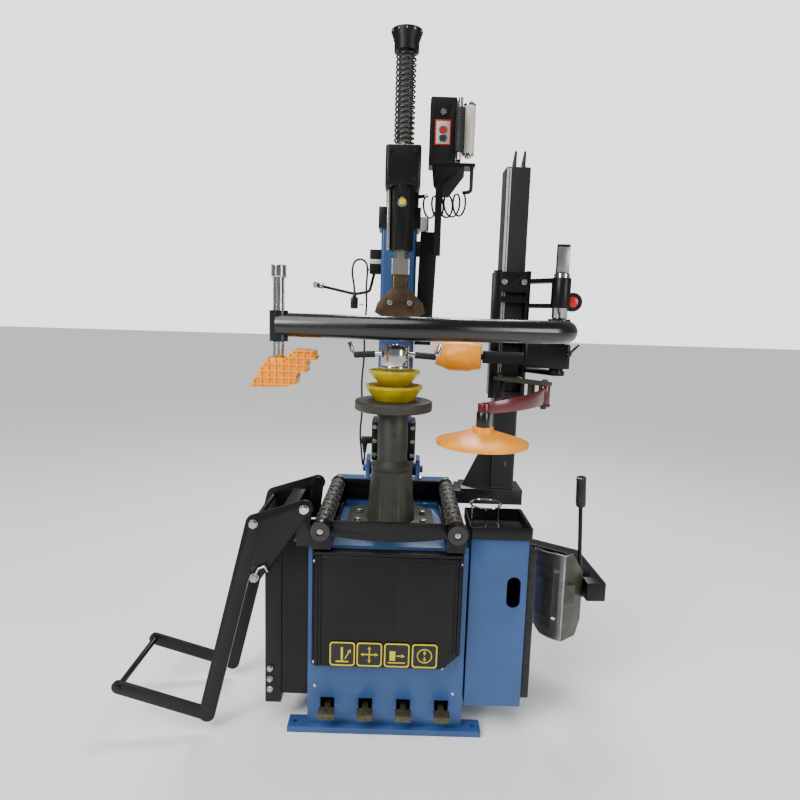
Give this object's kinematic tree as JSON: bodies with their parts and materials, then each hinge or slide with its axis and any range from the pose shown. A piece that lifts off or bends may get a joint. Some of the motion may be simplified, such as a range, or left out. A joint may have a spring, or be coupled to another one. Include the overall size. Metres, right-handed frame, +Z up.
{
  "type": "tire changer machine",
  "caption": "Centre-clamp tyre changer with a tilting column, wheel lift, bead breaker, wheel rollers and a helper post with presser arms.",
  "frame": {"origin": "floor level, in the middle of the four floor-anchor holes", "axes": "+X to the operator's right, +Y away from the operator, +Z up"},
  "size_m": [1.432, 0.9, 2.048],
  "materials": {
    "blue_paint": "semi-gloss",
    "black_paint": "satin powder coat",
    "dark_red_paint": "gloss",
    "cast_iron": "matt",
    "chrome": "polished",
    "steel": "satin",
    "bronze": "as cast",
    "aluminium": "satin",
    "black_plastic": "grained",
    "yellow_plastic": "gloss",
    "orange_plastic": "satin",
    "red_plastic": "gloss",
    "rubber": "matt"
  },
  "bodies": {
    "base": {"floor_frame": "blue_paint", "cabinet": "blue_paint", "front_cover": "black_plastic", "tool_box": "blue_paint", "tool_tray": "black_paint", "bead_pads": "rubber", "roller_table": "black_paint", "pedestal": "cast_iron", "plate_bolts": "steel", "gearbox": "cast_iron", "motor": "aluminium", "drive_belt": "rubber", "helper_post": "black_paint", "lift_channel": "black_paint"},
    "motor_pulley": {"motor_pulley": "cast_iron"},
    "worm_pulley": {"worm_pulley": "cast_iron"},
    "turntable": {"turntable": "cast_iron", "centring_cups": "yellow_plastic"},
    "wing_nut": {"wing_nut": "chrome"},
    "pedal_1": {"pedal_1": "steel"},
    "pedal_2": {"pedal_2": "steel"},
    "pedal_3": {"pedal_3": "steel"},
    "pedal_4": {"pedal_4": "steel"},
    "left_roller": {"left_roller": "chrome"},
    "right_roller": {"right_roller": "chrome"},
    "column": {"column": "blue_paint", "column_boot": "black_paint", "arm_sleeve": "black_paint", "control_box": "black_plastic", "control_bracket": "black_paint", "hose_coil": "rubber", "control_handle": "chrome", "air_lubricator": "aluminium", "inflator": "black_plastic", "cord_gland": "black_plastic", "power_cord": "rubber", "power_plug": "black_plastic"},
    "tilt_barrel": {"tilt_barrel": "aluminium"},
    "tilt_rod": {"tilt_rod": "chrome"},
    "red_button": {"red_button": "red_plastic"},
    "black_button": {"black_button": "black_plastic"},
    "tool_arm": {"tool_arm": "blue_paint", "tool_head": "black_paint", "shaft_spring": "black_paint"},
    "release_button": {"release_button": "yellow_plastic"},
    "tool_shaft": {"tool_shaft": "steel", "mount_head": "bronze", "spring_cap": "black_plastic"},
    "lift_arm": {"lift_arm": "black_paint"},
    "helper_carriage": {"helper_carriage": "black_paint"},
    "helper_tube": {"helper_tube": "black_paint"},
    "presser": {"presser_screw": "chrome", "presser_foot": "orange_plastic"},
    "roller_arm": {"roller_arm": "black_paint"},
    "bead_roller": {"bead_roller": "orange_plastic"},
    "disc_link": {"disc_link": "black_paint"},
    "disc_arm": {"disc_arm": "dark_red_paint"},
    "press_disc": {"press_disc": "orange_plastic"},
    "bead_arm": {"bead_arm": "black_paint"},
    "bead_blade": {"bead_blade": "steel"}
  },
  "joints": [
    {"name": "turntable_spin", "type": "hinge", "parent": "base", "child": "turntable", "pos_m": [0, -0.11, 0.93], "axis": [0, 0, 1], "continuous": true},
    {"name": "worm_pulley_spin", "type": "hinge", "parent": "base", "child": "worm_pulley", "pos_m": [0.1, -0.04, 0.43], "axis": [1, 0, 0], "continuous": true},
    {"name": "motor_pulley_spin", "type": "hinge", "parent": "base", "child": "motor_pulley", "pos_m": [0.1, -0.01, 0.2], "axis": [1, 0, 0], "continuous": true},
    {"name": "wing_nut_lift", "type": "slide", "parent": "turntable", "child": "wing_nut", "axis": [0, 0, 1], "range_m": [0, 0.03]},
    {"name": "pedal_1_press", "type": "hinge", "parent": "base", "child": "pedal_1", "pos_m": [-0.166, -0.25, 0.088], "axis": [1, 0, 0], "range_deg": [0, 10], "stiffness_Nm_per_rad": 30, "springref_deg": -5},
    {"name": "pedal_2_press", "type": "hinge", "parent": "base", "child": "pedal_2", "pos_m": [-0.056, -0.25, 0.088], "axis": [1, 0, 0], "range_deg": [0, 10], "stiffness_Nm_per_rad": 30, "springref_deg": -5},
    {"name": "pedal_3_press", "type": "hinge", "parent": "base", "child": "pedal_3", "pos_m": [0.054, -0.25, 0.088], "axis": [1, 0, 0], "range_deg": [0, 10], "stiffness_Nm_per_rad": 30, "springref_deg": -5},
    {"name": "pedal_4_press", "type": "hinge", "parent": "base", "child": "pedal_4", "pos_m": [0.164, -0.25, 0.088], "axis": [1, 0, 0], "range_deg": [0, 10], "stiffness_Nm_per_rad": 30, "springref_deg": -5},
    {"name": "left_roller_spin", "type": "hinge", "parent": "base", "child": "left_roller", "pos_m": [-0.184, -0.135, 0.622], "axis": [0, 1, 0], "continuous": true},
    {"name": "right_roller_spin", "type": "hinge", "parent": "base", "child": "right_roller", "pos_m": [0.184, -0.135, 0.622], "axis": [0, 1, 0], "continuous": true},
    {"name": "column_tilt", "type": "hinge", "parent": "base", "child": "column", "pos_m": [0, 0.25, 0.64], "axis": [-1, 0, 0], "range_deg": [0, 23]},
    {"name": "tilt_barrel_swing", "type": "hinge", "parent": "base", "child": "tilt_barrel", "pos_m": [0, 0.415, 0.62], "axis": [-1, 0, 0], "range_deg": [0, 20.1]},
    {"name": "tilt_rod_slide", "type": "slide", "parent": "tilt_barrel", "child": "tilt_rod", "axis": [0, -0.2684, 0.9633], "range_m": [-0.0655, 0]},
    {"name": "arm_reach", "type": "slide", "parent": "column", "child": "tool_arm", "axis": [0, -1, 0], "range_m": [-0.07, 0.15]},
    {"name": "release_button_press", "type": "slide", "parent": "tool_arm", "child": "release_button", "axis": [0, 1, 0], "range_m": [0, 0.004], "stiffness_N_per_m": 500},
    {"name": "tool_drop", "type": "slide", "parent": "tool_arm", "child": "tool_shaft", "axis": [0, 0, -1], "range_m": [0, 0.15], "deforming": ["shaft_spring"]},
    {"name": "red_button_press", "type": "slide", "parent": "column", "child": "red_button", "axis": [0, 1, 0], "range_m": [0, 0.004], "stiffness_N_per_m": 500},
    {"name": "black_button_press", "type": "slide", "parent": "column", "child": "black_button", "axis": [0, 1, 0], "range_m": [0, 0.004], "stiffness_N_per_m": 500},
    {"name": "lift_swing", "type": "hinge", "parent": "base", "child": "lift_arm", "pos_m": [-0.232, 0, 0.671], "axis": [0, 1, 0], "range_deg": [0, 78]},
    {"name": "carriage_lift", "type": "slide", "parent": "base", "child": "helper_carriage", "axis": [0, 0, 1], "range_m": [-0.12, 0.3]},
    {"name": "helper_swing", "type": "hinge", "parent": "helper_carriage", "child": "helper_tube", "pos_m": [0.518, 0.02, 1.165], "axis": [0, 0, 1], "range_deg": [0, 90]},
    {"name": "presser_slide", "type": "slide", "parent": "helper_tube", "child": "presser", "axis": [0, 0, -1], "range_m": [0, 0.085]},
    {"name": "roller_swing", "type": "hinge", "parent": "helper_carriage", "child": "roller_arm", "pos_m": [0.518, 0.02, 1.084], "axis": [0, 0, 1], "range_deg": [0, 17]},
    {"name": "bead_roller_spin", "type": "hinge", "parent": "roller_arm", "child": "bead_roller", "pos_m": [0.20822, 0.07128, 1.072], "axis": [-0.9866, 0.1633, 0], "continuous": true},
    {"name": "disc_link_swing", "type": "hinge", "parent": "helper_carriage", "child": "disc_link", "pos_m": [0.35, 0.082, 1], "axis": [0, 0, 1], "range_deg": [0, 30]},
    {"name": "disc_arm_swing", "type": "hinge", "parent": "disc_link", "child": "disc_arm", "pos_m": [0.466, -0.06, 0.98], "axis": [0, 0, 1], "range_deg": [0, 60]},
    {"name": "press_disc_spin", "type": "hinge", "parent": "disc_arm", "child": "press_disc", "pos_m": [0.254, -0.25, 0.87], "axis": [0, 0, 1], "continuous": true},
    {"name": "bead_swing", "type": "hinge", "parent": "base", "child": "bead_arm", "pos_m": [0.405, 0.19, 0.393], "axis": [0, 0, 1], "range_deg": [-3, 55]},
    {"name": "blade_tilt", "type": "hinge", "parent": "bead_arm", "child": "bead_blade", "pos_m": [0.566, -0.12, 0.393], "axis": [0, 0, 1], "range_deg": [-12, 2]}
  ],
  "couplings": [
    {"joint": "worm_pulley_spin", "follows": "turntable_spin", "ratio": 40},
    {"joint": "motor_pulley_spin", "follows": "turntable_spin", "ratio": 80},
    {"joint": "tilt_barrel_swing", "follows": "column_tilt", "ratio": 0.87},
    {"joint": "tilt_rod_slide", "follows": "column_tilt", "m_per_rad": -0.1616}
  ]
}
